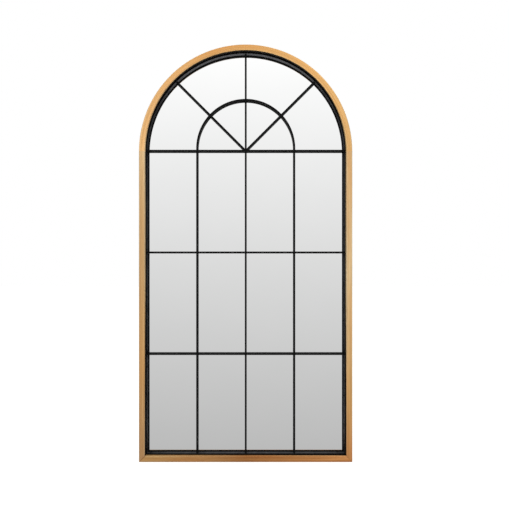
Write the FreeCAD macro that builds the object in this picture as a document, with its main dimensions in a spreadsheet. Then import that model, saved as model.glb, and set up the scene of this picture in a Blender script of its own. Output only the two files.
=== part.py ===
import FreeCAD, Part
import math
import os
import Sketcher
from types import SimpleNamespace

# Arched window mirror: an oak frame with a round top, a black steel window grille set into it,
# and a mirror glass glued to a back board, which hangs on two ring hangers.
#
# Millimetres. +X is to the right as seen from the front, the front faces -Y and +Z is up.
# The origin is on the wall plane (y = 0), at the centre of the arch, on the spring line.
# "Depth" below always means the distance from the wall plane towards the front.

SIZES = {
    # overall outline
    "outer_half": 460.0,          # half the overall width, and the radius of the arch
    "leg_height": 1340.0,         # spring line to the foot of the frame
    # oak frame
    "face_width": 25.0,           # frame width seen from the front
    "frame_depth": 50.0,          # wall to the front face
    "outer_round": 3.0,           # rounding of the outer front edge
    "inner_round": 2.0,           # rounding of the inner front edge
    "back_chamfer": 1.0,          # bevel of the outer back edge
    "glass_rebate": 9.0,          # width of the shoulder that hides the glass edge
    "board_rebate": 8.0,          # width of the ledge that the back board is screwed to
    # joints of the oak frame
    "dowel_radius": 4.0,
    "dowel_length": 40.0,
    "dowel_spacing": 12.0,        # between the two dowels of one joint
    "dowel_bevel": 1.0,
    "spline_length": 16.0,        # along the mitre
    "spline_width": 14.0,         # across the mitre
    "spline_thickness": 4.0,
    "glue_gap": 0.1,              # glue line round a dowel or a spline
    # layers, from the wall to the front
    "hanger_pocket": 7.0,         # hollow behind the back board
    "board_thickness": 9.0,
    "tape_thickness": 1.0,
    "glass_thickness": 4.0,
    "gasket_thickness": 2.0,
    "flange_thickness": 2.0,
    "lip_depth": 12.0,            # back of the flange to the front of the lip
    "slope_depth": 9.0,           # back of the flange to the top of the slope inside the lip
    "bar_depth": 8.0,
    # clearances and widths of the layers
    "board_clearance": 0.5,
    "glass_clearance": 1.0,
    "grille_gap": 0.5,            # between the oak and the steel lip
    "lip_thickness": 3.0,
    "slope_width": 4.5,
    "flange_ledge": 1.5,          # flange that shows inside the slope
    "gasket_reveal": 3.0,         # gasket that shows inside the flange
    # grille bars
    "bar_face": 8.0,
    "side_bar_offset": 212.0,     # centre bar to the left and right bars, and inner arc radius
    "spring_bar_rise": 8.0,       # spring line to the middle of the spring bar
    "middle_bar_drop": 443.5,     # spring bar to the middle bar
    "lower_bar_drop": 887.0,      # spring bar to the lower bar
    "arc_stilt": 10.0,            # straight foot of the inner arc
    "ray_angle": 45.0,            # rays above the spring bar
    # behind and under the glass
    "block_length": 60.0,
    "block_offset": 260.0,
    "tape_width": 25.0,
    "tape_inner_offset": 120.0,
    "tape_outer_offset": 330.0,
    "tape_top": 140.0,            # upper end of the tape, above the spring line
    "tape_foot_margin": 70.0,     # lower end of the tape, above the lower edge of the glass
    # back board screws
    "screw_radius": 1.5,
    "screw_length": 16.0,         # under the head
    "screw_head_radius": 3.0,
    "screw_head_height": 1.8,
    "screw_head_dome": 0.8,       # sloped rim of the head
    "screw_point": 3.0,           # tapered tip
    "screw_hole_clearance": 0.1,
    "screw_recess_length": 3.3,   # cross recess of the head
    "screw_recess_width": 0.9,
    "screw_recess_depth": 1.0,
    "arch_screw_angle": 15.0,     # first screw of the arch, above the spring line
    "side_screw_first": 150.0,    # first screw of a stile, below the spring line
    "side_screw_last": 1190.0,
    "foot_screw_offset": 300.0,
    # ring hangers
    "hanger_offset": 350.0,       # centre line to a hanger
    "strap_width": 18.0,
    "strap_length": 46.0,         # below the ring's pivot
    "strap_thickness": 1.5,
    "strap_corner": 4.0,
    "curl_width": 14.0,
    "curl_slit": 0.9,
    "ring_wire_radius": 1.5,
    "ring_play": 0.3,             # between the wire and the curl that holds it
    "ring_half_width": 12.5,      # centre line of the wire
    "ring_side": 4.0,             # straight side of the ring
    "ring_corner": 2.6,
    "hanger_screw_first": 25.0,   # below the pivot
    "hanger_screw_last": 38.0,
    "hanger_screw_length": 8.0,
}

ARCH_SCREWS = 7
SIDE_SCREWS = 5
HALF_TURN = 180
OVERSHOOT = 1.2                   # a cut that goes right through is this much longer than the wall

LEFT = -1
RIGHT = 1

doc = FreeCAD.newDocument("arched_window_mirror")
sheet = doc.addObject("Spreadsheet::Sheet", "sizes")
for row, (alias, number) in enumerate(SIZES.items(), 1):
    sheet.set("A%d" % row, alias)
    sheet.set("B%d" % row, str(number))
    sheet.setAlias("B%d" % row, alias)
doc.recompute()


class Size:
    """A number together with the sheet formula that gives it."""

    def __init__(self, value, formula):
        self.value = float(value)
        self.formula = formula

    def __add__(self, other):
        other = as_size(other)
        return Size(self.value + other.value, "(%s + %s)" % (self.formula, other.formula))

    def __sub__(self, other):
        other = as_size(other)
        return Size(self.value - other.value, "(%s - %s)" % (self.formula, other.formula))

    def __mul__(self, other):
        other = as_size(other)
        return Size(self.value * other.value, "(%s * %s)" % (self.formula, other.formula))

    def __truediv__(self, other):
        other = as_size(other)
        return Size(self.value / other.value, "(%s / %s)" % (self.formula, other.formula))

    def __neg__(self):
        return Size(-self.value, "(0 - %s)" % self.formula)


def as_size(number):
    return number if isinstance(number, Size) else Size(number, "(%r)" % float(number))


def cosine(angle):
    return Size(math.cos(math.radians(angle.value)), "cos(%s)" % angle.formula)


def sine(angle):
    return Size(math.sin(math.radians(angle.value)), "sin(%s)" % angle.formula)


dim = SimpleNamespace(**{alias: Size(sheet.get(alias), "sizes." + alias) for alias in SIZES})

# ---------------------------------------------------------------- derived sizes

# Half-widths of the concentric outlines.
oak_inner = dim.outer_half - dim.face_width
glass_ledge = oak_inner + dim.glass_rebate
board_ledge = glass_ledge + dim.board_rebate
board_half = board_ledge - dim.board_clearance
glass_half = glass_ledge - dim.glass_clearance
lip_outer = oak_inner - dim.grille_gap
lip_inner = lip_outer - dim.lip_thickness
slope_inner = lip_inner - dim.slope_width
flange_inner = slope_inner - dim.flange_ledge
gasket_inner = flange_inner - dim.gasket_reveal
screw_line = (board_ledge + glass_ledge) / 2
oak_middle = (dim.outer_half + oak_inner) / 2

# Depths of the layers.
board_front = dim.hanger_pocket + dim.board_thickness
glass_back = board_front + dim.tape_thickness
glass_front = glass_back + dim.glass_thickness
gasket_front = glass_front + dim.gasket_thickness
shoulder = gasket_front + dim.flange_thickness
lip_front = gasket_front + dim.lip_depth
slope_front = gasket_front + dim.slope_depth
grille_front = gasket_front + dim.bar_depth
grille_middle = gasket_front + dim.bar_depth / 2
joint_depth = (dim.frame_depth + shoulder) / 2

half_bar = dim.bar_face / 2
pivot_depth = dim.hanger_pocket - dim.strap_thickness - dim.ring_play - dim.ring_wire_radius


def foot_of(half):
    """Height of the lower edge of the outline that has this half-width."""
    return dim.outer_half - dim.leg_height - half


# ---------------------------------------------------------------- sketch and feature helpers


def bind(target, path, size):
    target.setExpression(path, as_size(size).formula)


def new_body(label):
    return doc.addObject("PartDesign::Body", label)


def plane_sketch(body, role, name, depth=None):
    """Sketch on one of the body's own planes; depth moves it along the plane's normal."""
    plane = next(item for item in body.Origin.OriginFeatures if item.Role == role)
    sketch = body.newObject("Sketcher::SketchObject", name)
    sketch.AttachmentSupport = [(plane, "")]
    sketch.MapMode = "FlatFace"
    if depth is not None:
        bind(sketch, "AttachmentOffset.Base.z", depth)
    return sketch


def vector(place):
    return FreeCAD.Vector(as_size(place[0]).value, as_size(place[1]).value, 0)


def constrain(sketch, kind, *arguments):
    return sketch.addConstraint(Sketcher.Constraint(kind, *arguments))


def constrain_size(sketch, kind, *arguments):
    """Constraint whose last argument is a size, bound to the sheet."""
    size = arguments[-1]
    index = constrain(sketch, kind, *arguments[:-1], size.value)
    bind(sketch, "Constraints[%d]" % index, size)


def fix_point(sketch, geometry, point, place):
    """Hold a point of the sketch at two sizes; a plain 0 puts it on that axis."""
    for kind, axis, amount in (("DistanceX", -2, place[0]), ("DistanceY", -1, place[1])):
        if isinstance(amount, Size):
            constrain_size(sketch, kind, -1, 1, geometry, point, amount)
        else:
            constrain(sketch, "PointOnObject", geometry, point, axis)


def add_line(sketch, start, end):
    return sketch.addGeometry(Part.LineSegment(vector(start), vector(end)))


def polygon(sketch, corners):
    """Closed outline of straight lines."""
    count = len(corners)
    lines = [add_line(sketch, corners[index], corners[(index + 1) % count]) for index in range(count)]
    for index, line in enumerate(lines):
        constrain(sketch, "Coincident", line, 2, lines[(index + 1) % count], 1)
        fix_point(sketch, line, 1, corners[index])


def circle(sketch, centre, radius):
    disc = sketch.addGeometry(Part.Circle(vector(centre), FreeCAD.Vector(0, 0, 1), radius.value))
    fix_point(sketch, disc, 3, centre)
    constrain_size(sketch, "Radius", disc, radius)


def arch_and_legs(sketch, half, foot, centre=0):
    """Semicircle on two upright legs; gives the left leg and the right leg."""
    middle = (0, centre)
    round_top = sketch.addGeometry(
        Part.ArcOfCircle(Part.Circle(vector(middle), FreeCAD.Vector(0, 0, 1), half.value), 0, math.pi))
    fix_point(sketch, round_top, 3, middle)
    constrain_size(sketch, "Radius", round_top, half)
    legs = []
    for side, end in ((LEFT, 2), (RIGHT, 1)):
        constrain(sketch, "Horizontal", round_top, end, round_top, 3)
        leg = add_line(sketch, (half * side, centre), (half * side, foot))
        constrain(sketch, "Coincident", round_top, end, leg, 1)
        constrain(sketch, "Vertical", leg)
        constrain_size(sketch, "DistanceY", -1, 1, leg, 2, foot)
        legs.append(leg)
    return legs


def join_feet(sketch, first_leg, second_leg, first_place, second_place):
    line = add_line(sketch, first_place, second_place)
    constrain(sketch, "Coincident", first_leg, 2, line, 1)
    constrain(sketch, "Coincident", second_leg, 2, line, 2)


def arch_outline(sketch, half):
    """The outline of the whole mirror, inset to this half-width."""
    foot = foot_of(half)
    left, right = arch_and_legs(sketch, half, foot)
    join_feet(sketch, left, right, (-half, foot), (half, foot))


def hoop_outline(sketch, outer, inner, foot, centre):
    """Arched band between two half-widths, open at the foot."""
    outer_legs = arch_and_legs(sketch, outer, foot, centre)
    inner_legs = arch_and_legs(sketch, inner, foot, centre)
    for side, outer_leg, inner_leg in zip((LEFT, RIGHT), outer_legs, inner_legs):
        join_feet(sketch, outer_leg, inner_leg, (outer * side, foot), (inner * side, foot))


def pad(body, sketch, name, length, reverse=False, symmetric=False):
    feature = body.newObject("PartDesign::Pad", name)
    feature.Profile = sketch
    feature.Reversed = reverse
    feature.SideType = "Symmetric" if symmetric else "One side"
    bind(feature, "Length", length)
    body.Tip = feature
    return feature


def pocket(body, sketch, name, length, reverse=False, symmetric=False):
    feature = body.newObject("PartDesign::Pocket", name)
    feature.Profile = sketch
    feature.Reversed = reverse
    feature.SideType = "Symmetric" if symmetric else "One side"
    bind(feature, "Length", length)
    body.Tip = feature
    return feature


def dress_edges(body, kind, name, size_property, size, wanted):
    """Fillet or chamfer on the edges of the body that the test picks."""
    doc.recompute()
    base = body.Tip
    edges = ["Edge%d" % number for number, edge in enumerate(base.Shape.Edges, 1) if wanted(edge)]
    feature = body.newObject(kind, name)
    feature.Base = (base, edges)
    bind(feature, size_property, size)
    body.Tip = feature
    return feature


def near(number, size):
    return abs(number - as_size(size).value) < 1e-4


def plate(label, half, depth, thickness, inner=None):
    """Flat arched piece, or an arched ring where an inner half-width is given."""
    body = new_body(label)
    sketch = plane_sketch(body, "XZ_Plane", label + "_outline", depth)
    arch_outline(sketch, half)
    if inner is not None:
        arch_outline(sketch, inner)
    pad(body, sketch, label + "_pad", thickness)
    return body


# ---------------------------------------------------------------- screw places

# Each place is an (x, z) pair on the middle of the ledge that carries the back board.
arch_screw_step = (as_size(HALF_TURN) - dim.arch_screw_angle * 2) / (ARCH_SCREWS - 1)
arch_screw_angles = [dim.arch_screw_angle + arch_screw_step * index for index in range(ARCH_SCREWS)]
arch_screw_places = [(screw_line * cosine(angle), screw_line * sine(angle)) for angle in arch_screw_angles]
side_screw_step = (dim.side_screw_last - dim.side_screw_first) / (SIDE_SCREWS - 1)
side_screw_heights = [-(dim.side_screw_first + side_screw_step * index) for index in range(SIDE_SCREWS)]
side_screw_places = {side: [(screw_line * side, height) for height in side_screw_heights]
                     for side in (LEFT, RIGHT)}
foot_screw_places = [(across, foot_of(screw_line))
                     for across in (-dim.foot_screw_offset, 0, dim.foot_screw_offset)]
board_screw_places = (arch_screw_places + side_screw_places[LEFT] + side_screw_places[RIGHT]
                      + foot_screw_places)
screw_hole = dim.screw_radius + dim.screw_hole_clearance
screw_reach = dim.hanger_pocket + dim.screw_length + dim.screw_hole_clearance

hanger_screw_places = [(dim.hanger_offset * side, -drop)
                       for side in (LEFT, RIGHT)
                       for drop in (dim.hanger_screw_first, dim.hanger_screw_last)]


def drill(body, name, places, radius, depth):
    """Round holes from the wall side, as deep as the given depth."""
    sketch = plane_sketch(body, "XZ_Plane", name + "_centres")
    for place in places:
        circle(sketch, place, radius)
    return pocket(body, sketch, name, depth, reverse=True)


# ---------------------------------------------------------------- oak frame


# Corners of the cross-section, as half-width and depth.
OAK_PROFILE = ((dim.outer_half, dim.frame_depth), (oak_inner, dim.frame_depth),
               (oak_inner, shoulder), (glass_ledge, shoulder),
               (glass_ledge, board_front), (board_ledge, board_front),
               (board_ledge, 0), (dim.outer_half, 0))


def turned_arch(body, profile):
    """Half turn of the cross-section round the centre of the arch."""
    sketch = plane_sketch(body, "XY_Plane", body.Label + "_section")
    polygon(sketch, [(half, -depth) for half, depth in profile])
    turn = body.newObject("PartDesign::Revolution", body.Label + "_turn")
    turn.Profile = sketch
    turn.ReferenceAxis = (sketch, ["V_Axis"])
    turn.Angle = HALF_TURN
    turn.Reversed = True
    body.Tip = turn


def straight_leg(body, name, profile, side):
    """The cross-section run down from the spring line to the foot."""
    sketch = plane_sketch(body, "XY_Plane", name + "_section")
    polygon(sketch, [(half * side, -depth) for half, depth in profile])
    pad(body, sketch, name + "_pad", dim.leg_height, reverse=True)


def straight_foot(body, profile):
    """The cross-section run along the foot, from corner to corner."""
    sketch = plane_sketch(body, "YZ_Plane", body.Label + "_section")
    polygon(sketch, [(-depth, foot_of(half)) for half, depth in profile])
    pad(body, sketch, body.Label + "_pad", dim.outer_half * 2, symmetric=True)


def edge_on_front(edge, half_test):
    """An edge of the front face whose half-width passes the test."""
    box = edge.BoundBox
    flat = near(box.YMin, -dim.frame_depth) and near(box.YMax, -dim.frame_depth)
    return flat and half_test(edge)


def edge_on_wall(edge, half_test):
    box = edge.BoundBox
    return near(box.YMin, 0) and near(box.YMax, 0) and half_test(edge)


def soften_oak(body, label, at_outer, at_inner):
    """Round the two front edges and bevel the outer back edge."""
    dress_edges(body, "PartDesign::Fillet", label + "_outer_round", "Radius", dim.outer_round,
                lambda edge: edge_on_front(edge, at_outer))
    dress_edges(body, "PartDesign::Fillet", label + "_inner_round", "Radius", dim.inner_round,
                lambda edge: edge_on_front(edge, at_inner))
    dress_edges(body, "PartDesign::Chamfer", label + "_back_bevel", "Size", dim.back_chamfer,
                lambda edge: edge_on_wall(edge, at_outer))


def mitre_wedge(sketch, side, above):
    """Triangle on one side of the mitre at a lower corner, past the oak on every side."""
    margin = dim.face_width
    outer = dim.outer_half + margin
    inner = board_half - dim.face_width - margin
    foot = -(dim.leg_height + margin)
    top = foot + outer - inner
    third = (outer * side, top) if above else (inner * side, foot)
    polygon(sketch, [(outer * side, foot), (inner * side, top), third])


def spline_outline(sketch, side, clearance):
    """Rectangle across the mitre of a lower corner."""
    root_half = math.sqrt(0.5)
    along = (dim.spline_length / 2 + clearance) * root_half
    across = (dim.spline_width / 2 + clearance) * root_half
    middle_x = oak_middle
    middle_z = foot_of(oak_middle)
    turns = ((1, 1), (1, -1), (-1, -1), (-1, 1))
    corners = []
    for forward, sideways in turns:
        shift_x = along * -forward + across * sideways
        shift_z = along * forward + across * sideways
        corners.append(((middle_x + shift_x) * side, middle_z + shift_z))
    polygon(sketch, corners)


def cut_mitre(body, label, side, above):
    sketch = plane_sketch(body, "XZ_Plane", label + "_mitre")
    mitre_wedge(sketch, side, above)
    pocket(body, sketch, label + "_mitre_cut", dim.frame_depth * 2 * OVERSHOOT, symmetric=True)


def cut_spline_slot(body, label, side):
    sketch = plane_sketch(body, "XZ_Plane", label + "_spline", joint_depth)
    spline_outline(sketch, side, dim.glue_gap)
    pocket(body, sketch, label + "_spline_slot", dim.spline_thickness + dim.glue_gap * 2, symmetric=True)


def dowel_places(sides):
    shifts = (-(dim.dowel_spacing / 2), dim.dowel_spacing / 2)
    return [(oak_middle * side, -joint_depth + shift) for side in sides for shift in shifts]


def drill_dowels(body, label, sides, upward):
    sketch = plane_sketch(body, "XY_Plane", label + "_dowels")
    for place in dowel_places(sides):
        circle(sketch, place, dim.dowel_radius + dim.glue_gap)
    pocket(body, sketch, label + "_dowel_holes", dim.dowel_length / 2 + dim.glue_gap, reverse=upward)


def make_wood_arch():
    body = new_body("wood_arch")
    turned_arch(body, OAK_PROFILE)

    def is_arc(half):
        return lambda edge: hasattr(edge.Curve, "Radius") and near(edge.Curve.Radius, half)

    soften_oak(body, "wood_arch", is_arc(dim.outer_half), is_arc(oak_inner))
    drill_dowels(body, "wood_arch", (LEFT, RIGHT), upward=True)
    drill(body, "wood_arch_pilot_holes", arch_screw_places, screw_hole, screw_reach)
    return body


def make_stile(label, side):
    body = new_body(label)
    straight_leg(body, label, OAK_PROFILE, side)

    def runs_at(half):
        return lambda edge: near(edge.BoundBox.XMin, half * side) and near(edge.BoundBox.XMax, half * side)

    soften_oak(body, label, runs_at(dim.outer_half), runs_at(oak_inner))
    cut_mitre(body, label, side, above=False)
    cut_spline_slot(body, label, side)
    drill_dowels(body, label, (side,), upward=False)
    drill(body, label + "_pilot_holes", side_screw_places[side], screw_hole, screw_reach)
    return body


def make_bottom_rail():
    label = "bottom_rail"
    body = new_body(label)
    straight_foot(body, OAK_PROFILE)

    def runs_at(half):
        height = foot_of(half)
        return lambda edge: near(edge.BoundBox.ZMin, height) and near(edge.BoundBox.ZMax, height)

    soften_oak(body, label, runs_at(dim.outer_half), runs_at(oak_inner))
    for side, word in ((LEFT, "left"), (RIGHT, "right")):
        cut_mitre(body, label + "_" + word, side, above=True)
        cut_spline_slot(body, label + "_" + word, side)
    drill(body, label + "_pilot_holes", foot_screw_places, screw_hole, screw_reach)
    return body


def make_dowels():
    body = new_body("arch_joint_dowels")
    sketch = plane_sketch(body, "XY_Plane", "arch_joint_dowels_ends")
    for place in dowel_places((LEFT, RIGHT)):
        circle(sketch, place, dim.dowel_radius)
    pad(body, sketch, "arch_joint_dowels_pad", dim.dowel_length, symmetric=True)
    dress_edges(body, "PartDesign::Chamfer", "arch_joint_dowels_tips", "Size", dim.dowel_bevel,
                lambda edge: isinstance(edge.Curve, Part.Circle))
    return body


def make_splines():
    body = new_body("corner_splines")
    sketch = plane_sketch(body, "XZ_Plane", "corner_splines_outline", joint_depth)
    for side in (LEFT, RIGHT):
        spline_outline(sketch, side, as_size(0))
    pad(body, sketch, "corner_splines_pad", dim.spline_thickness, symmetric=True)
    return body


# ---------------------------------------------------------------- steel grille


# Corners of the steel section: a flange, and a lip that stands on it with a slope between the two.
STEEL_PROFILE = ((glass_half, gasket_front), (glass_half, shoulder), (lip_outer, shoulder),
                 (lip_outer, lip_front), (lip_inner, lip_front), (lip_inner, slope_front),
                 (slope_inner, shoulder), (flange_inner, shoulder), (flange_inner, gasket_front))


def make_grille_arch_section():
    """The steel section bent round the arch and down both sides, mitred at its feet."""
    label = "grille_arch_section"
    body = new_body(label)
    turned_arch(body, STEEL_PROFILE)
    for side, word in ((LEFT, "left"), (RIGHT, "right")):
        leg = "%s_%s" % (label, word)
        straight_leg(body, leg, STEEL_PROFILE, side)
        cut_mitre(body, leg, side, above=False)
    return body


def make_grille_bottom_section():
    """The steel section along the foot, mitred into the arch section."""
    label = "grille_bottom_section"
    body = new_body(label)
    straight_foot(body, STEEL_PROFILE)
    for side, word in ((LEFT, "left"), (RIGHT, "right")):
        cut_mitre(body, "%s_%s" % (label, word), side, above=True)
    return body


def make_opening():
    """The space inside the lip of the steel sections."""
    body = new_body("grille_opening")
    sketch = plane_sketch(body, "XZ_Plane", "grille_opening_outline", gasket_front)
    arch_outline(sketch, lip_inner)
    pad(body, sketch, "grille_opening_pad", dim.bar_depth)
    return body


def slab(name, left, right, foot, top, back, front):
    """Box between six planes; back and front are depths."""
    box = doc.addObject("Part::Box", name)
    bind(box, "Length", right - left)
    bind(box, "Width", front - back)
    bind(box, "Height", top - foot)
    bind(box, "Placement.Base.x", left)
    bind(box, "Placement.Base.y", -front)
    bind(box, "Placement.Base.z", foot)
    return box


def boolean(kind, name, base, tool):
    feature = doc.addObject(kind, name)
    feature.Base = base
    feature.Tool = tool
    return feature


def fuse(name, shapes):
    feature = doc.addObject("Part::MultiFuse", name)
    feature.Shapes = shapes
    return feature


def upright_bar(name, middle, top):
    return slab(name, middle - half_bar, middle + half_bar, foot_of(lip_outer), top,
                gasket_front, grille_front)


def level_bar(name, height):
    return slab(name, -lip_outer, lip_outer, height - half_bar, height + half_bar,
                gasket_front, grille_front)


def ray_bar(name, side):
    """Bar from the hub outwards, turned up from the spring bar."""
    box = doc.addObject("Part::Box", name)
    bind(box, "Length", lip_outer)
    bind(box, "Width", dim.bar_depth)
    bind(box, "Height", dim.bar_face)
    angle = dim.ray_angle if side == RIGHT else as_size(HALF_TURN) - dim.ray_angle
    bind(box, "Placement.Base.x", half_bar * sine(angle))
    bind(box, "Placement.Base.y", -grille_front)
    bind(box, "Placement.Base.z", dim.spring_bar_rise - half_bar * cosine(angle))
    box.Placement.Rotation = FreeCAD.Rotation(FreeCAD.Vector(0, -1, 0), 1)
    bind(box, "Placement.Rotation.Angle", angle)
    return box


def inner_arc():
    body = new_body("inner_arc_stock")
    sketch = plane_sketch(body, "XZ_Plane", "inner_arc_outline", gasket_front)
    foot = dim.spring_bar_rise + half_bar
    hoop_outline(sketch, dim.side_bar_offset + half_bar, dim.side_bar_offset - half_bar,
                 foot, dim.spring_bar_rise + dim.arc_stilt)
    pad(body, sketch, "inner_arc_pad", dim.bar_depth)
    return body


def make_grille_bars(sections):
    """Bars half-lapped where they cross, and cut to the steel sections at their ends.

    Upright bars and rays keep their front half at a crossing, and level bars and the
    inner arc keep their back half.
    """
    opening = boolean("Part::Cut", "grille_space", make_opening(), fuse("grille_sections", sections))
    side_bar_top = dim.spring_bar_rise - half_bar
    centre = upright_bar("centre_bar_stock", as_size(0), lip_outer)
    left = upright_bar("left_bar_stock", -dim.side_bar_offset, side_bar_top)
    right = upright_bar("right_bar_stock", dim.side_bar_offset, side_bar_top)
    spring = level_bar("spring_bar_stock", dim.spring_bar_rise)
    middle = level_bar("middle_bar_stock", dim.spring_bar_rise - dim.middle_bar_drop)
    lower = level_bar("lower_bar_stock", dim.spring_bar_rise - dim.lower_bar_drop)
    arc = inner_arc()
    hub = fuse("hub_cross", [centre, spring])
    rays = {side: boolean("Part::Cut", word + "_ray_stock", ray_bar(word + "_ray_box", side), hub)
            for side, word in ((LEFT, "left"), (RIGHT, "right"))}

    reach = dim.leg_height + dim.outer_half
    back_half = slab("back_half", -reach, reach, -reach, reach, gasket_front, grille_middle)
    front_half = slab("front_half", -reach, reach, -reach, reach, grille_middle, grille_front)
    level_laps = boolean("Part::Common", "level_laps",
                         fuse("level_stock", [spring, middle, lower, arc]), back_half)
    upright_laps = boolean("Part::Common", "upright_laps",
                           fuse("upright_stock", [centre, left, right]), front_half)
    arc_laps = boolean("Part::Common", "arc_laps",
                       fuse("arc_crossings", [centre, rays[LEFT], rays[RIGHT]]), front_half)

    made = []
    plan = (("grille_centre_bar", centre, level_laps),
            ("grille_left_bar", left, level_laps),
            ("grille_right_bar", right, level_laps),
            ("grille_spring_bar", spring, upright_laps),
            ("grille_middle_bar", middle, upright_laps),
            ("grille_lower_bar", lower, upright_laps),
            ("grille_inner_arc", arc, arc_laps),
            ("grille_left_ray", rays[LEFT], level_laps),
            ("grille_right_ray", rays[RIGHT], level_laps))
    for label, stock, laps in plan:
        trimmed = boolean("Part::Common", label + "_trimmed", stock, opening)
        made.append(boolean("Part::Cut", label, trimmed, laps))
    return made


# ---------------------------------------------------------------- glass and back


def boxes(label, corners):
    """Group of equal boxes, each between six planes."""
    group = doc.addObject("Part::Compound", label)
    group.Links = [slab("%s_%d" % (label, number), *planes) for number, planes in enumerate(corners, 1)]
    return group


def make_setting_blocks():
    """Rubber blocks that carry the glass and the steel on the bottom rail."""
    half_block = dim.block_length / 2
    return boxes("glass_setting_blocks",
                 [(dim.block_offset * side - half_block, dim.block_offset * side + half_block,
                   foot_of(glass_ledge), foot_of(glass_half), glass_back, shoulder)
                  for side in (LEFT, RIGHT)])


def make_mounting_tape():
    """Double-sided foam strips that hold the glass to the back board."""
    half_tape = dim.tape_width / 2
    middles = [offset * side for side in (LEFT, RIGHT)
               for offset in (dim.tape_inner_offset, dim.tape_outer_offset)]
    return boxes("mounting_tape",
                 [(middle - half_tape, middle + half_tape, foot_of(glass_half) + dim.tape_foot_margin,
                   dim.tape_top, board_front, glass_back) for middle in middles])


def make_back_board():
    body = plate("back_board", board_half, dim.hanger_pocket, dim.board_thickness)
    drill(body, "back_board_screw_holes", board_screw_places, screw_hole,
          board_front + dim.tape_thickness)
    hanger_hole = dim.hanger_pocket + dim.hanger_screw_length - dim.strap_thickness
    drill(body, "back_board_hanger_holes", hanger_screw_places, screw_hole, hanger_hole)
    return body


def screw_shape(head_depth, length):
    """Pan-head wood screw along the depth axis, point to the front."""
    radius = dim.screw_radius.value
    head_radius = dim.screw_head_radius.value
    head_height = dim.screw_head_height.value
    dome = dim.screw_head_dome.value
    seat = -head_depth.value
    point = seat - length.value
    head_top = seat + head_height
    profile = [(0, point), (radius, point + dim.screw_point.value), (radius, seat), (head_radius, seat),
               (head_radius, head_top - dome), (head_radius - dome, head_top), (0, head_top), (0, point)]
    outline = Part.makePolygon([FreeCAD.Vector(across, along, 0) for across, along in profile])
    solid = Part.Face(outline).revolve(FreeCAD.Vector(0, 0, 0), FreeCAD.Vector(0, 1, 0), 360)
    slot = dim.screw_recess_width.value
    arm = dim.screw_recess_length.value
    for along_x, along_z in ((arm, slot), (slot, arm)):
        corner = FreeCAD.Vector(-along_x / 2, head_top - dim.screw_recess_depth.value, -along_z / 2)
        solid = solid.cut(Part.makeBox(along_x, head_height, along_z, corner))
    return solid


def screw_group(label, places, head_depth, length):
    """Equal screws at the given places, their heads' undersides at one depth."""
    screw = screw_shape(head_depth, length)
    group = doc.addObject("Part::Feature", label)
    copies = []
    for place in places:
        copy = screw.copy()
        copy.translate(FreeCAD.Vector(as_size(place[0]).value, 0, as_size(place[1]).value))
        copies.append(copy)
    group.Shape = Part.makeCompound(copies)
    return group


# ---------------------------------------------------------------- ring hangers


def place_hanger(body, side):
    """Move a piece that is drawn round the ring's pivot to its hanger."""
    bind(body, "Placement.Base.x", dim.hanger_offset * side)
    bind(body, "Placement.Base.y", -pivot_depth)


def make_strap(label, side):
    """Steel strap whose upper end curls round the wire of the ring."""
    body = new_body(label)
    curl_inner = dim.ring_wire_radius + dim.ring_play
    curl_outer = curl_inner + dim.strap_thickness
    strip = plane_sketch(body, "YZ_Plane", label + "_strip")
    polygon(strip, [(-curl_outer, 0), (-curl_inner, 0),
                    (-curl_inner, -dim.strap_length), (-curl_outer, -dim.strap_length)])
    pad(body, strip, label + "_strip_pad", dim.strap_width, symmetric=True)
    foot = -dim.strap_length.value

    def at_foot_corner(edge):
        box = edge.BoundBox
        upright = near(box.ZMin, foot) and near(box.ZMax, foot)
        return upright and near(box.XMin, box.XMax)

    dress_edges(body, "PartDesign::Fillet", label + "_corners", "Radius", dim.strap_corner, at_foot_corner)
    curl = plane_sketch(body, "YZ_Plane", label + "_curl")
    circle(curl, (0, 0), curl_outer)
    pad(body, curl, label + "_curl_pad", dim.curl_width, symmetric=True)
    bore = plane_sketch(body, "YZ_Plane", label + "_bore")
    circle(bore, (0, 0), curl_inner)
    pocket(body, bore, label + "_bore_cut", dim.strap_width * OVERSHOOT, symmetric=True)
    slit = plane_sketch(body, "YZ_Plane", label + "_slit")
    slit_front = dim.curl_slit - curl_inner
    slit_foot = -(curl_outer * OVERSHOOT)
    polygon(slit, [(-curl_inner, slit_foot), (slit_front, slit_foot),
                   (slit_front, -dim.ring_play), (-curl_inner, -dim.ring_play)])
    pocket(body, slit, label + "_slit_cut", dim.strap_width * OVERSHOOT, symmetric=True)
    holes = plane_sketch(body, "XZ_Plane", label + "_holes")
    for drop in (dim.hanger_screw_first, dim.hanger_screw_last):
        circle(holes, (0, -drop), screw_hole)
    pocket(body, holes, label + "_hole_cut", curl_outer * 2 * OVERSHOOT, symmetric=True)
    place_hanger(body, side)
    return body


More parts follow.
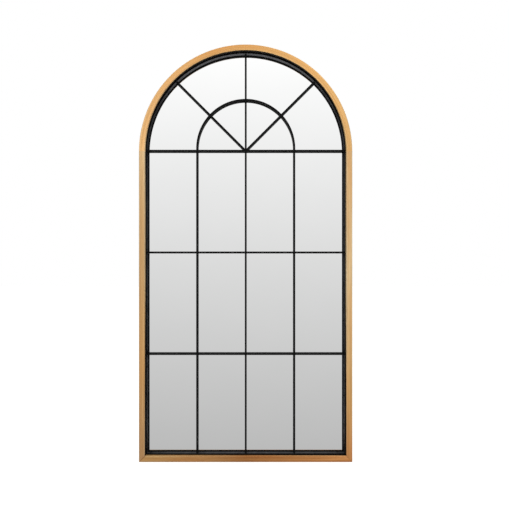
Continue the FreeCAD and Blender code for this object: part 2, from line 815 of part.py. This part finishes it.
def ring_path(sketch):
    """Centre line of the D-shaped ring, hanging below its straight side."""
    half = dim.ring_half_width
    corner = dim.ring_corner
    side_foot = -dim.ring_side
    up = FreeCAD.Vector(0, 0, 1)
    bar = add_line(sketch, (corner - half, 0), (half - corner, 0))
    bow = sketch.addGeometry(Part.ArcOfCircle(Part.Circle(vector((0, side_foot)), up, half.value),
                                              math.pi, 2 * math.pi))
    fix_point(sketch, bow, 3, (0, side_foot))
    constrain_size(sketch, "Radius", bow, half)
    turns = {LEFT: (math.pi / 2, math.pi, 1, 2, 1), RIGHT: (0, math.pi / 2, 2, 1, 2)}
    for side, (start, end, bar_end, turn_foot, bow_end) in turns.items():
        turn_top = 3 - turn_foot
        centre = ((half - corner) * side, -corner)
        turn = sketch.addGeometry(Part.ArcOfCircle(Part.Circle(vector(centre), up, corner.value), start, end))
        flank = add_line(sketch, (half * side, -corner), (half * side, side_foot))
        fix_point(sketch, turn, 3, centre)
        constrain(sketch, "Coincident", bar, bar_end, turn, turn_top)
        constrain(sketch, "Coincident", turn, turn_foot, flank, 1)
        constrain(sketch, "Coincident", flank, 2, bow, bow_end)
        constrain(sketch, "Vertical", flank)
        constrain(sketch, "Horizontal", turn, turn_foot, turn, 3)
        constrain(sketch, "Horizontal", bow, bow_end, bow, 3)
        constrain(sketch, "Vertical", turn, turn_top, turn, 3)


def make_ring(label, side):
    body = new_body(label)
    path = plane_sketch(body, "XZ_Plane", label + "_path")
    ring_path(path)
    section = plane_sketch(body, "YZ_Plane", label + "_wire")
    circle(section, (0, 0), dim.ring_wire_radius)
    doc.recompute()
    sweep = body.newObject("PartDesign::AdditivePipe", label + "_sweep")
    sweep.Profile = section
    sweep.Spine = (path, ["Edge%d" % number for number in range(1, len(path.Shape.Edges) + 1)])
    body.Tip = sweep
    place_hanger(body, side)
    return body


# ---------------------------------------------------------------- assembly


def make_all():
    sections = [make_grille_arch_section(), make_grille_bottom_section()]
    pieces = [make_wood_arch(),
              make_stile("left_stile", LEFT),
              make_stile("right_stile", RIGHT),
              make_bottom_rail(),
              make_dowels(),
              make_splines()]
    pieces += sections
    pieces += make_grille_bars(sections)
    pieces += [plate("glazing_gasket", glass_half, glass_front, dim.gasket_thickness, gasket_inner),
               plate("mirror_glass", glass_half, glass_back, dim.glass_thickness),
               make_setting_blocks(),
               make_mounting_tape(),
               make_back_board(),
               screw_group("back_board_screws", board_screw_places, dim.hanger_pocket, dim.screw_length)]
    for side, word in ((LEFT, "left"), (RIGHT, "right")):
        pieces.append(make_strap(word + "_hanger_strap", side))
        pieces.append(make_ring(word + "_hanger_ring", side))
    pieces.append(screw_group("hanger_screws", hanger_screw_places,
                              dim.hanger_pocket - dim.strap_thickness, dim.hanger_screw_length))
    return pieces


def check(pieces):
    """Stop if a feature failed or a piece has no sound shape."""
    for item in doc.Objects:
        if {"Invalid", "Error"} & set(item.State):
            raise RuntimeError("%s failed: %s" % (item.Label, item.State))
    for piece in pieces:
        if piece.Shape.isNull() or not piece.Shape.isValid():
            raise RuntimeError("%s has no valid shape" % piece.Label)


parts = make_all()
doc.recompute()
check(parts)
os.makedirs("parts", exist_ok=True)
for part in parts:
    part.Shape.exportStep("parts/%s.step" % part.Label)
    print("%-24s solids %2d  volume %12.1f" % (part.Label, len(part.Shape.Solids), part.Shape.Volume))
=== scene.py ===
import math

import bpy
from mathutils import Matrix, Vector


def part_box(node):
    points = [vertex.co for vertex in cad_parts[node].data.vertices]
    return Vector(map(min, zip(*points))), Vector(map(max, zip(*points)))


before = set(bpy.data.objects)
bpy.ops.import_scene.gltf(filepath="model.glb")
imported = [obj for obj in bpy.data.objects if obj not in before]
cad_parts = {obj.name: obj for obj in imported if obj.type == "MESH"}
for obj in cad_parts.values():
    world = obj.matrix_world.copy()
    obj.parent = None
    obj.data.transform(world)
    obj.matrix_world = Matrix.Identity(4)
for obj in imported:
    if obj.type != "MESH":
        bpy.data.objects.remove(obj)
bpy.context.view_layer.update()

# Arched window mirror: the finishes of its oak, steel, mirror glass and back, and the studio round it.
# Metres, in the same frame as the model: +X right, the front faces -Y, +Z up, the wall plane is y = 0.

MM = 0.001

# Driving sizes, read from the model itself.
ARCH_LOW, ARCH_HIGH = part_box("wood_arch")
RAIL_LOW, RAIL_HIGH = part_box("bottom_rail")
OUTER_HALF = ARCH_HIGH.x                    # half the width, which is also the arch's outer radius
FRONT_Y = ARCH_LOW.y                        # front face of the oak
FOOT_Z = RAIL_LOW.z
FACE_WIDTH = RAIL_HIGH.z - FOOT_Z           # of the oak, seen from the front
OAK_MIDDLE = OUTER_HALF - FACE_WIDTH / 2    # radius of the arch along the middle of its face

# The slope inside the lip of the steel section rises from its flange. The faces that meet it stay
# black, so its finish ends a little short of both.
FLANGE_THICKNESS = 2.0 * MM
SLOPE_DEPTH = 9.0 * MM                      # back of the flange to the top of the slope
SLOPE_MARGIN = 0.3 * MM
SECTION_BACK = -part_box("grille_bottom_section")[1].y
SLOPE_BACK = SECTION_BACK + FLANGE_THICKNESS + SLOPE_MARGIN
SLOPE_FRONT = SECTION_BACK + SLOPE_DEPTH - SLOPE_MARGIN


# ---------------------------------------------------------------- colour and node helpers

NOISE_BAND = (0.3, 0.7)      # most of a noise lies between these values


def ramp_place(value):
    """A value from -1 to 1 as a place on a ramp, from 0 to 1."""
    return 0.5 + 0.5 * value


def linear(value):
    """One sRGB channel, 0 to 255, as a linear value."""
    share = value / 255
    return share / 12.92 if share <= 0.04045 else ((share + 0.055) / 1.055) ** 2.4


def colour(red, green, blue):
    """A colour from its sRGB channels, 0 to 255."""
    return (linear(red), linear(green), linear(blue), 1.0)


def channels(red, green, blue):
    """Linear channels, as a colour or as what a tint multiplies by."""
    return (red, green, blue, 1.0)


class Graph:
    """Short calls that add nodes to a node tree. Their values are numbers, colours or sockets."""

    def __init__(self, owner):
        """Start on the emptied tree of a material or world."""
        owner.use_nodes = True
        self.tree = owner.node_tree
        self.tree.nodes.clear()

    def put(self, target, value):
        """Link a socket to the target, or set the target's own value."""
        if isinstance(value, bpy.types.NodeSocket):
            self.tree.links.new(value, target)
        else:
            target.default_value = value

    def set(self, node, inputs):
        """Put a value into each named input of a node."""
        for name, value in inputs.items():
            self.put(node.inputs[name], value)

    def add(self, kind, **settings):
        """Add a node and return it."""
        made = self.tree.nodes.new(kind)
        for name, value in settings.items():
            setattr(made, name, value)
        return made

    def join(self, kind, *values, **settings):
        """Add a node, fill its first inputs in order and return its first result."""
        made = self.add(kind, **settings)
        for target, value in zip(made.inputs, values):
            self.put(target, value)
        return made.outputs[0]

    def end(self, kind, result):
        """Add the tree's output node and give it the result."""
        self.put(self.add(kind).inputs[0], result)

    def math(self, operation, *values, clamp=False):
        return self.join("ShaderNodeMath", *values, operation=operation, use_clamp=clamp)

    def times(self, first, second):
        return self.math("MULTIPLY", first, second)

    def minus(self, first, second, clamp=False):
        return self.math("SUBTRACT", first, second, clamp=clamp)

    def share(self, first, second):
        return self.math("DIVIDE", first, second)

    def scaled(self, value, factor, shift, clamp=False):
        return self.math("MULTIPLY_ADD", value, factor, shift, clamp=clamp)

    def ramp_place(self, value, clamp=False):
        """A socket's value from -1 to 1 as a place on a ramp, from 0 to 1."""
        return self.scaled(value, 0.5, 0.5, clamp=clamp)

    def radius(self, first, second):
        """Distance of the point (first, second) from the origin."""
        return self.math("SQRT", self.scaled(first, first, self.times(second, second)))

    def split(self, vector):
        made = self.add("ShaderNodeSeparateXYZ")
        self.put(made.inputs[0], vector)
        return tuple(made.outputs)

    def place(self):
        """The point in the model's frame, in metres."""
        return self.add("ShaderNodeTexCoord").outputs["Object"]

    def coordinates(self):
        """The point's x, y and z."""
        return self.split(self.place())

    def vector(self, x, y, z):
        return self.join("ShaderNodeCombineXYZ", x, y, z)

    def noise(self, vector, scale=1.0, detail=2.0, roughness=0.5, distortion=0.0):
        made = self.add("ShaderNodeTexNoise")
        self.set(made, {"Vector": vector, "Scale": scale, "Detail": detail,
                        "Roughness": roughness, "Distortion": distortion})
        return made.outputs["Fac"]

    def ramp(self, factor, stops, smooth=False):
        """Colour or grey steps: stops are (place, colour) pairs, where a plain number is a grey."""
        made = self.add("ShaderNodeValToRGB")
        ramp = made.color_ramp
        ramp.interpolation = "EASE" if smooth else "LINEAR"
        while len(ramp.elements) < len(stops):
            ramp.elements.new(0.5)
        for element, (place, shade) in zip(ramp.elements, stops):
            element.position = place
            element.color = shade if isinstance(shade, tuple) else channels(shade, shade, shade)
        self.put(made.inputs[0], factor)
        return made.outputs["Color"]

    def between(self, noise, low, high, band=NOISE_BAND):
        """A shade that goes from low to high as the noise crosses the band."""
        return self.ramp(noise, ((band[0], low), (band[1], high)))

    def mix(self, factor, first, second, blend="MIX"):
        made = self.add("ShaderNodeMix", data_type="RGBA", blend_type=blend)
        for index, value in ((0, factor), (6, first), (7, second)):
            self.put(made.inputs[index], value)
        return made.outputs[2]

    def tinted(self, base, tint):
        return self.mix(1.0, base, tint, blend="MULTIPLY")

    def mix_numbers(self, factor, first, second):
        made = self.add("ShaderNodeMix", data_type="FLOAT")
        for index, value in ((0, factor), (2, first), (3, second)):
            self.put(made.inputs[index], value)
        return made.outputs[0]

    def bump(self, height, strength, depth):
        made = self.add("ShaderNodeBump")
        self.set(made, {"Strength": strength, "Distance": depth, "Height": height})
        return made.outputs[0]


def new_material(name):
    """A material with a Principled shader, and the graph that sets it."""
    material = bpy.data.materials.new(name)
    graph = Graph(material)
    shader = graph.add("ShaderNodeBsdfPrincipled")
    graph.end("ShaderNodeOutputMaterial", shader.outputs[0])
    return material, graph, shader


def wear(node_name, material):
    """Give a CAD node its finish."""
    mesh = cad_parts[node_name].data
    mesh.materials.clear()
    mesh.materials.append(material)


# ---------------------------------------------------------------- oak

# Layers of the grain: how often each changes in a metre along and across it, a shift that keeps
# the layers apart, and the settings of its noise.
GRAIN = {
    "drift": (3.0, 30.0, 0.0, {"detail": 3.0}),
    "rings": (2.2, 210.0, 7.0, {"detail": 3.0, "distortion": 0.6}),
    "fibres": (14.0, 1100.0, 13.0, {"detail": 4.0, "roughness": 0.65}),
    "pores": (110.0, 3600.0, 29.0, {"detail": 2.0, "roughness": 0.6}),
    "flecks": (60.0, 900.0, 41.0, {"detail": 1.0}),
}
RING_SHARE = 0.72                           # of the rings in the tone; the fibres are the rest
TONE_PLACES = (0.30, 0.50, 0.68)            # where the dark, middle and light shades lie in the tone
WARM_MASK = ((0.46, 0.0), (0.66, 1.0))      # stops over the drift
FIBRE_SHADING = ((0.30, 0.90), (0.62, 1.03))
PORE_MASK = ((0.60, 0.0), (0.68, 1.0))
FLECK_MASK = ((0.66, 0.0), (0.74, 1.0))
WARM_STRENGTH = 0.55
PORE_STRENGTH = 0.20
FLECK_STRENGTH = 0.20
FIBRE_RELIEF = 0.6
PORE_RELIEF = 0.5

# Dark, middle, light and warm shades of each cut of the wood. The rail's are darker than the others,
# partly the wood's own colour and partly painted shade low in the frame, where less light falls.
ARCH_SHADES = (colour(194, 144, 88), colour(222, 171, 108), colour(237, 188, 127), colour(226, 163, 95))
STILE_SHADES = (colour(184, 142, 92), colour(214, 174, 122), colour(230, 196, 148), colour(212, 160, 102))
RAIL_SHADES = (colour(156, 104, 58), colour(190, 138, 86), colour(208, 160, 108), colour(182, 118, 64))

# Drift of colour along a piece: up a stile from its foot, along the rail from its left end, and round the
# arch from its right end. Up the stiles it is partly the wood's own drift and partly painted shade, darker
# towards the foot as if lit from above. The rail is darker in its middle, and the arch just past its
# crown.
LEFT_TINT_AND_SHADE = ((0.0, channels(0.72, 0.65, 0.62)), (0.3, channels(0.87, 0.76, 0.60)),
             (0.65, channels(0.83, 0.80, 0.75)), (1.0, channels(0.98, 1.05, 1.14)))
RIGHT_TINT_AND_SHADE = ((0.0, channels(0.83, 0.57, 0.39)), (0.2, channels(0.97, 0.88, 0.70)),
              (0.6, channels(1.02, 1.12, 1.24)), (1.0, channels(0.96, 0.99, 1.02)))
RAIL_TINT = ((0.0, channels(1.00, 1.13, 1.10)), (0.25, channels(0.97, 1.06, 1.06)),
             (0.5, channels(0.74, 0.62, 0.45)), (1.0, channels(1.20, 1.05, 0.88)))
ARCH_TINT = ((0.0, channels(0.92, 0.98, 1.00)), (0.25, channels(1.03, 1.07, 1.05)),
             (0.6, channels(0.83, 0.78, 0.68)), (1.0, channels(1.05, 1.15, 1.35)))

# Painted highlight across the face of every piece, from the inner edge to the outer one: the rounded edges
# are paler and bluer than the middle, as lacquer that catches the light.
EDGE_HIGHLIGHT_TINT = ((0.0, channels(0.98, 1.08, 1.21)), (0.17, channels(0.91, 0.88, 0.83)),
               (0.83, channels(0.91, 0.88, 0.83)), (1.0, channels(0.85, 0.95, 1.07)))

# Painted shade on the oak's inner wall, round the steel, where the recess lies in shadow. Its line is the
# share of the oak's depth, from the back, that it reaches, as stops along each piece.
WALL_PAINTED_SHADE = colour(16, 11, 8)
WALL_EDGE = 0.012                    # share of the face width within which a point is on that wall
WALL_FADE = 0.05                     # share of the depth over which the painted shade ends
LEFT_SHADE_LINE = ((0.2, 0.93), (0.42, 0.86), (0.6, 0.70), (0.8, 0.70), (1.0, 0.80))
RIGHT_SHADE_LINE = ((0.2, 0.89), (0.42, 0.79), (0.55, 0.68), (0.8, 0.68), (1.0, 0.76))
RAIL_SHADE_LINE = ((0.0, 0.73), (1.0, 0.84))
ARCH_SHADE_LINE = ((0.0, 0.74), (0.25, 0.93), (0.5, 0.97), (0.75, 0.93), (1.0, 0.74))

# Stain that has run in along the glue line of the foot mitres.
MITRE_STAIN = colour(122, 70, 34)
MITRE_LINE = 1.2 * MM                # its half-width at the outer corner
MITRE_RUN = 4.0 * MM                 # what that gains towards the inner corner
LEFT_MITRE = 0.80                    # its strength at each mitre
RIGHT_MITRE = 0.30


def grain_axes(graph, run):
    """Along, across and through the grain, in metres, for a piece that runs 'up', 'level' or 'round'."""
    x, y, z = graph.coordinates()
    if run == "up":
        return z, x, y
    if run == "level":
        return x, z, y
    return graph.times(graph.math("ARCTAN2", z, x), OAK_MIDDLE), graph.radius(x, z), y


def grain_layer(graph, axes, offset, layer):
    """One layer of the grain, as a noise that is drawn out along it."""
    along_scale, across_scale, shift, settings = GRAIN[layer]
    along, across, through = axes
    place = graph.vector(graph.scaled(along, along_scale, offset + shift),
                         graph.times(across, across_scale), graph.times(through, across_scale))
    return graph.noise(place, **settings)


def oak_grain(graph, axes, offset, shades):
    """Colour of the wood before its tints, the painted shade of its inner wall and the mitre stain, with
    the fibres and pores that give it relief.
    """
    dark, middle, light, streak = shades
    fibres = grain_layer(graph, axes, offset, "fibres")
    rings = grain_layer(graph, axes, offset, "rings")
    tone = graph.scaled(rings, RING_SHARE, graph.times(fibres, 1 - RING_SHARE))
    base = graph.ramp(tone, tuple(zip(TONE_PLACES, (dark, middle, light))))

    warm = graph.ramp(grain_layer(graph, axes, offset, "drift"), WARM_MASK, smooth=True)
    base = graph.mix(graph.times(warm, WARM_STRENGTH), base, streak)
    base = graph.tinted(base, graph.ramp(fibres, FIBRE_SHADING))
    pores = graph.ramp(grain_layer(graph, axes, offset, "pores"), PORE_MASK)
    base = graph.mix(graph.times(pores, PORE_STRENGTH), base, dark)
    flecks = graph.ramp(grain_layer(graph, axes, offset, "flecks"), FLECK_MASK)
    base = graph.mix(graph.times(flecks, FLECK_STRENGTH), base, light)
    return base, fibres, pores


def place_along(graph, along, run):
    """0 at the start of a piece, which is its foot, left end or the arch's right end, and 1 at its end."""
    start, end = {"up": (FOOT_Z, 0.0), "level": (-OUTER_HALF, OUTER_HALF),
                  "round": (0.0, math.pi * OAK_MIDDLE)}[run]
    return graph.share(graph.minus(along, start), end - start)


def foot_half(graph, z):
    """Half-width of the outline, parallel to the mirror's own, whose foot lies at this height."""
    return graph.minus(FOOT_Z + OUTER_HALF, z)


def place_across(graph):
    """0 at the inner edge of the oak's face and 1 at its outer edge, all round the mirror."""
    x, _, z = graph.coordinates()
    leg_half = graph.math("MAXIMUM", graph.math("ABSOLUTE", x), foot_half(graph, z))
    in_arch = graph.math("GREATER_THAN", z, 0.0)
    half = graph.mix_numbers(in_arch, leg_half, graph.radius(x, z))
    return graph.share(graph.minus(half, OUTER_HALF - FACE_WIDTH), FACE_WIDTH)


def mitre_mask(graph, across):
    """Strength of the stain along the glue line of the foot mitres."""
    x, _, z = graph.coordinates()
    aside = graph.math("ABSOLUTE", graph.minus(graph.math("ABSOLUTE", x), foot_half(graph, z)))
    reach = graph.scaled(across, -MITRE_RUN, MITRE_RUN + MITRE_LINE)
    near = graph.minus(1.0, graph.share(aside, reach), clamp=True)
    on_right = graph.math("GREATER_THAN", x, 0.0)
    return graph.times(near, graph.mix_numbers(on_right, LEFT_MITRE, RIGHT_MITRE))


def wall_shade_mask(graph, along, across, shade_line):
    """1 on the oak's inner wall, from the back up to the line of its painted shade."""
    depth_share = graph.share(graph.coordinates()[1], FRONT_Y)
    short_of_line = graph.minus(graph.ramp(along, shade_line), depth_share)
    shaded = graph.scaled(short_of_line, 1 / WALL_FADE, 0.5, clamp=True)
    return graph.times(graph.math("LESS_THAN", across, WALL_EDGE), shaded)


def make_oak(name, run, offset, shades, tint, shade_line):
    """Oak along one piece, whose offset gives it a grain of its own."""
    material, graph, shader = new_material(name)
    axes = grain_axes(graph, run)
    base, fibres, pores = oak_grain(graph, axes, offset, shades)

    along = place_along(graph, axes[0], run)
    across = place_across(graph)
    # Up the stiles, this tint along the piece is partly painted shade, darker towards the foot.
    base = graph.tinted(base, graph.ramp(along, tint))
    # Painted highlight: the rounded edges of the face are paler than its middle.
    base = graph.tinted(base, graph.ramp(across, EDGE_HIGHLIGHT_TINT))
    if run != "round":
        base = graph.mix(mitre_mask(graph, across), base, MITRE_STAIN)
    # Painted shade: the inner wall is darkened from the back up to its line, where the recess is in
    # shadow.
    base = graph.mix(wall_shade_mask(graph, along, across, shade_line), base, WALL_PAINTED_SHADE)

    relief = graph.minus(graph.times(fibres, FIBRE_RELIEF), graph.times(pores, PORE_RELIEF))
    graph.set(shader, {"Base Color": base,
                       "Roughness": graph.between(fibres, 0.62, 0.50),
                       "Specular IOR Level": 0.30,
                       "Normal": graph.bump(relief, strength=0.30, depth=0.25 * MM)})
    return material


wear("wood_arch", make_oak("oak_arch", "round", 3.0, ARCH_SHADES, ARCH_TINT, ARCH_SHADE_LINE))
wear("left_stile", make_oak("oak_left_stile", "up", 17.0, STILE_SHADES, LEFT_TINT_AND_SHADE, LEFT_SHADE_LINE))
wear("right_stile", make_oak("oak_right_stile", "up", 31.0, STILE_SHADES, RIGHT_TINT_AND_SHADE, RIGHT_SHADE_LINE))
wear("bottom_rail", make_oak("oak_bottom_rail", "level", 47.0, RAIL_SHADES, RAIL_TINT, RAIL_SHADE_LINE))


# ---------------------------------------------------------------- steel, glass and the hidden pieces

BLACK_PAINT = (0.0015, 0.003)        # greys of its patches
RUBBED_METAL = (channels(0.095, 0.095, 0.100), channels(0.135, 0.135, 0.140))
SILVER = (channels(0.955, 0.960, 0.957), channels(0.965, 0.968, 0.966))
ZINC = (colour(184, 186, 190), colour(214, 214, 208))
BEECH = (colour(190, 150, 112), colour(222, 188, 150))
BOARD = (colour(112, 82, 56), colour(146, 112, 80), colour(172, 138, 102))
RUBBER = (0.002, 0.005)
FOAM = (0.62, 0.78)
DULL = 0.10                          # specular level of black paint and rubber


def upright_place(graph, sideways_scale, upright_scale):
    """Noise space that is drawn out upwards."""
    x, y, z = graph.coordinates()
    return graph.vector(graph.times(x, sideways_scale), graph.times(y, sideways_scale),
                        graph.times(z, upright_scale))


def black_paint(graph):
    """Dead black powder coat: its colour, its fine orange-peel skin and its patches."""
    patches = graph.noise(graph.place(), scale=60.0, detail=3.0)
    peel = graph.noise(graph.place(), scale=1400.0)
    return graph.between(patches, *BLACK_PAINT), graph.bump(peel, strength=0.25, depth=0.05 * MM), patches


def make_black_steel():
    """Powder-coated steel of the glazing bars."""
    material, graph, shader = new_material("black_steel")
    black, skin, patches = black_paint(graph)
    graph.set(shader, {"Base Color": black,
                       "Roughness": graph.between(patches, 0.46, 0.58),
                       "Specular IOR Level": DULL,
                       "Normal": skin})
    return material


def make_section_steel():
    """The same coat on the section round the glass, with its slope rubbed down to grey metal."""
    material, graph, shader = new_material("section_steel")
    black, skin, patches = black_paint(graph)
    depth = graph.times(graph.coordinates()[1], -1.0)
    on_slope = graph.times(graph.math("GREATER_THAN", depth, SLOPE_BACK),
                           graph.math("LESS_THAN", depth, SLOPE_FRONT))
    metal = graph.between(patches, *RUBBED_METAL)
    graph.set(shader, {"Base Color": graph.mix(on_slope, black, metal),
                       "Metallic": on_slope,
                       "Roughness": graph.between(patches, 0.26, 0.38),
                       "Specular IOR Level": DULL,
                       "Normal": skin})
    return material


def make_mirror():
    """Silvered float glass with the faintest haze."""
    material, graph, shader = new_material("mirror_silver")
    haze = graph.noise(graph.place(), scale=6.0, detail=4.0)
    graph.set(shader, {"Base Color": graph.between(haze, *SILVER),
                       "Metallic": 1.0,
                       "Roughness": graph.between(haze, 0.0, 0.02, band=(0.3, 0.8))})
    return material


def make_rubber():
    """Black rubber of the gasket and the setting blocks."""
    material, graph, shader = new_material("black_rubber")
    grit = graph.noise(graph.place(), scale=900.0, detail=3.0)
    graph.set(shader, {"Base Color": graph.between(grit, *RUBBER),
                       "Roughness": 0.75,
                       "Specular IOR Level": DULL,
                       "Normal": graph.bump(grit, strength=0.3, depth=0.1 * MM)})
    return material


def make_foam():
    """White foam of the mounting tape."""
    material, graph, shader = new_material("white_foam")
    cells = graph.noise(graph.place(), scale=1500.0)
    graph.set(shader, {"Base Color": graph.between(cells, *FOAM),
                       "Roughness": 0.85,
                       "Normal": graph.bump(cells, strength=0.4, depth=0.1 * MM)})
    return material


def make_beech():
    """Pale close-grained wood of the hidden dowels and splines."""
    material, graph, shader = new_material("beech")
    specks = graph.noise(upright_place(graph, 900.0, 160.0))
    graph.set(shader, {"Base Color": graph.between(specks, *BEECH, band=(0.35, 0.65)),
                       "Roughness": 0.6,
                       "Normal": graph.bump(specks, strength=0.2, depth=0.1 * MM)})
    return material


def make_board():
    """Brown fibreboard: short fibres of several tones, pressed smooth."""
    material, graph, shader = new_material("fibreboard")
    fibres = graph.noise(graph.place(), scale=420.0, detail=6.0, roughness=0.75, distortion=1.2)
    clouds = graph.noise(graph.place(), scale=9.0, detail=4.0)
    base = graph.ramp(fibres, tuple(zip((0.30, 0.50, 0.70), BOARD)))
    graph.set(shader, {"Base Color": graph.tinted(base, graph.between(clouds, 0.88, 1.05)),
                       "Roughness": graph.between(fibres, 0.74, 0.60),
                       "Normal": graph.bump(fibres, strength=0.25, depth=0.1 * MM)})
    return material


def make_zinc():
    """Bright zinc plate with light handling marks."""
    material, graph, shader = new_material("zinc_plate")
    spangle = graph.noise(graph.place(), scale=260.0, detail=3.0)
    scuffs = graph.noise(upright_place(graph, 3000.0, 240.0))
    graph.set(shader, {"Base Color": graph.between(spangle, *ZINC),
                       "Metallic": 1.0,
                       "Roughness": graph.between(scuffs, 0.24, 0.42),
                       "Normal": graph.bump(scuffs, strength=0.15, depth=0.05 * MM)})
    return material


FINISHES = (
    (make_section_steel, ("grille_arch_section", "grille_bottom_section")),
    (make_black_steel, ("grille_centre_bar", "grille_left_bar", "grille_right_bar", "grille_spring_bar",
                        "grille_middle_bar", "grille_lower_bar", "grille_inner_arc", "grille_left_ray",
                        "grille_right_ray")),
    (make_mirror, ("mirror_glass",)),
    (make_rubber, ("glazing_gasket", "glass_setting_blocks")),
    (make_foam, ("mounting_tape",)),
    (make_beech, ("arch_joint_dowels", "corner_splines")),
    (make_board, ("back_board",)),
    (make_zinc, ("back_board_screws", "hanger_screws", "left_hanger_strap", "right_hanger_strap",
                 "left_hanger_ring", "right_hanger_ring")),
)
for make_finish, node_names in FINISHES:
    finish = make_finish()
    for node_name in node_names:
        wear(node_name, finish)


# ---------------------------------------------------------------- studio

WHITE = channels(1.0, 1.0, 1.0)

FLOOR_HALF = 14.0            # half the side of the floor
FLOOR_SHADE = 0.45           # of its matt surface
FLOOR_GLOW = 0.72            # adds to the lit floor, so that it shows white

SOFT_LIGHT = ((0.0, 0.14), (0.5, 0.44), (1.0, 0.90))    # on surfaces, from below to above

# The room that a mirror shows, by the slope at which a reflected ray leaves.
ROOM_LEVEL = 217.8           # sRGB level that the glass shows where its rays leave level
ROOM_RISE = 60.4             # what that gains per unit of slope
ROOM_SLOPES = (-0.60, -0.28, 0.0, 0.36, 0.67)
MIRROR_SHARE = 0.96          # what the glass gives back
LEAST_RUN = 0.05             # keeps the slope of an upright ray finite
FLOOR_SEEN = 1.0             # brightness at the steepest slope down, and past the last slope up
CEILING_SEEN = 0.55
CEILING_SLOPE = 0.86
WALLS_SEEN = ((0.2, 0.22), (0.8, 0.20))     # brightness from the left wall to the right one
BESIDE_MASK = ((0.80, 0.0), (0.92, 1.0))    # how far sideways a ray leaves to show the walls


def room_shade(slope):
    """Brightness of the room that the mirror shows at this slope."""
    return linear(ROOM_LEVEL + ROOM_RISE * slope) / MIRROR_SHARE


def reflected_ray(graph, path):
    """1 for the rays that leave metal or pass through glass."""
    return graph.math("MAXIMUM", path["Is Glossy Ray"], path["Is Transmission Ray"])


def make_floor():
    """White floor that keeps a soft shadow for the camera and isn't seen by reflections."""
    corners = [(x * FLOOR_HALF, y * FLOOR_HALF, FOOT_Z) for x, y in ((-1, -1), (1, -1), (1, 1), (-1, 1))]
    mesh = bpy.data.meshes.new("floor")
    mesh.from_pydata(corners, [], [(0, 1, 2, 3)])
    floor = bpy.data.objects.new("floor", mesh)
    bpy.context.scene.collection.objects.link(floor)

    material = bpy.data.materials.new("floor_white")
    graph = Graph(material)
    path = graph.add("ShaderNodeLightPath").outputs
    matt = graph.join("ShaderNodeBsdfDiffuse", channels(FLOOR_SHADE, FLOOR_SHADE, FLOOR_SHADE))
    glow = graph.join("ShaderNodeEmission", WHITE, graph.times(path["Is Camera Ray"], FLOOR_GLOW))
    lit = graph.join("ShaderNodeAddShader", matt, glow)
    clear = graph.join("ShaderNodeBsdfTransparent")
    graph.end("ShaderNodeOutputMaterial",
              graph.join("ShaderNodeMixShader", reflected_ray(graph, path), lit, clear))
    mesh.materials.append(material)


def make_world():
    """White for the camera, soft light for the surfaces, and a room that darkens downwards in reflections.

    The room's brightness follows the slope of the reflected ray, so that a flat mirror shows it
    as a plain gradient from top to bottom.
    """
    world = bpy.data.worlds.new("studio")
    graph = Graph(world)
    path = graph.add("ShaderNodeLightPath").outputs
    sideways, forward, upward = graph.split(graph.add("ShaderNodeTexCoord").outputs["Generated"])

    slope = graph.share(upward, graph.math("MAXIMUM", graph.math("ABSOLUTE", forward), LEAST_RUN))
    stops = [(ramp_place(step), room_shade(step)) for step in ROOM_SLOPES]
    stops = [(0.0, FLOOR_SEEN)] + stops + [(ramp_place(CEILING_SLOPE), CEILING_SEEN)]
    room = graph.ramp(graph.ramp_place(slope, clamp=True), stops)
    walls = graph.ramp(graph.ramp_place(sideways), WALLS_SEEN)
    beside = graph.ramp(graph.math("ABSOLUTE", sideways), BESIDE_MASK)
    reflection = graph.mix(beside, room, walls)

    light = graph.ramp(graph.ramp_place(upward), SOFT_LIGHT)
    shade = graph.mix(reflected_ray(graph, path), light, reflection)
    shade = graph.mix(path["Is Camera Ray"], shade, WHITE)
    graph.end("ShaderNodeOutputWorld", graph.join("ShaderNodeBackground", shade))
    bpy.context.scene.world = world


def make_softbox(name, place, target, width, height, watts):
    """Area lamp at a place, turned to its target, that metal and glass don't mirror."""
    light = bpy.data.lights.new(name, "AREA")
    light.shape = "RECTANGLE"
    light.size = width
    light.size_y = height
    light.energy = watts
    lamp = bpy.data.objects.new(name, light)
    bpy.context.scene.collection.objects.link(lamp)
    lamp.location = place
    lamp.rotation_euler = (Vector(target) - Vector(place)).to_track_quat("-Z", "Y").to_euler()
    lamp.visible_glossy = False


def make_camera():
    """Level camera, a little below the middle of the mirror, as near as the perspective shows."""
    distance = 1.5                      # to the front face
    eye_x = 0.0383
    eye_height = -0.5035
    picture_width = 2.1913              # seen at the front face
    picture_middle = -0.4454            # height at the middle of the picture
    sensor_width = 36.0                 # in mm, as the lens
    camera = bpy.data.objects.new("camera", bpy.data.cameras.new("camera"))
    bpy.context.scene.collection.objects.link(camera)
    camera.location = (eye_x, FRONT_Y - distance, eye_height)
    camera.rotation_euler = (math.radians(90), 0, 0)
    camera.data.sensor_width = sensor_width
    camera.data.lens = sensor_width * distance / picture_width
    camera.data.shift_y = (picture_middle - eye_height) / picture_width
    bpy.context.scene.camera = camera


make_floor()
make_world()
make_softbox("key_softbox", place=(-0.5, -2.6, 1.5), target=(0.0, 0.0, -0.2),
             width=2.2, height=1.0, watts=60.0)
make_softbox("fill_softbox", place=(1.8, -2.6, 0.4), target=(0.0, 0.0, -0.5),
             width=1.6, height=1.6, watts=18.0)
make_camera()
bpy.context.scene.view_settings.view_transform = "Standard"
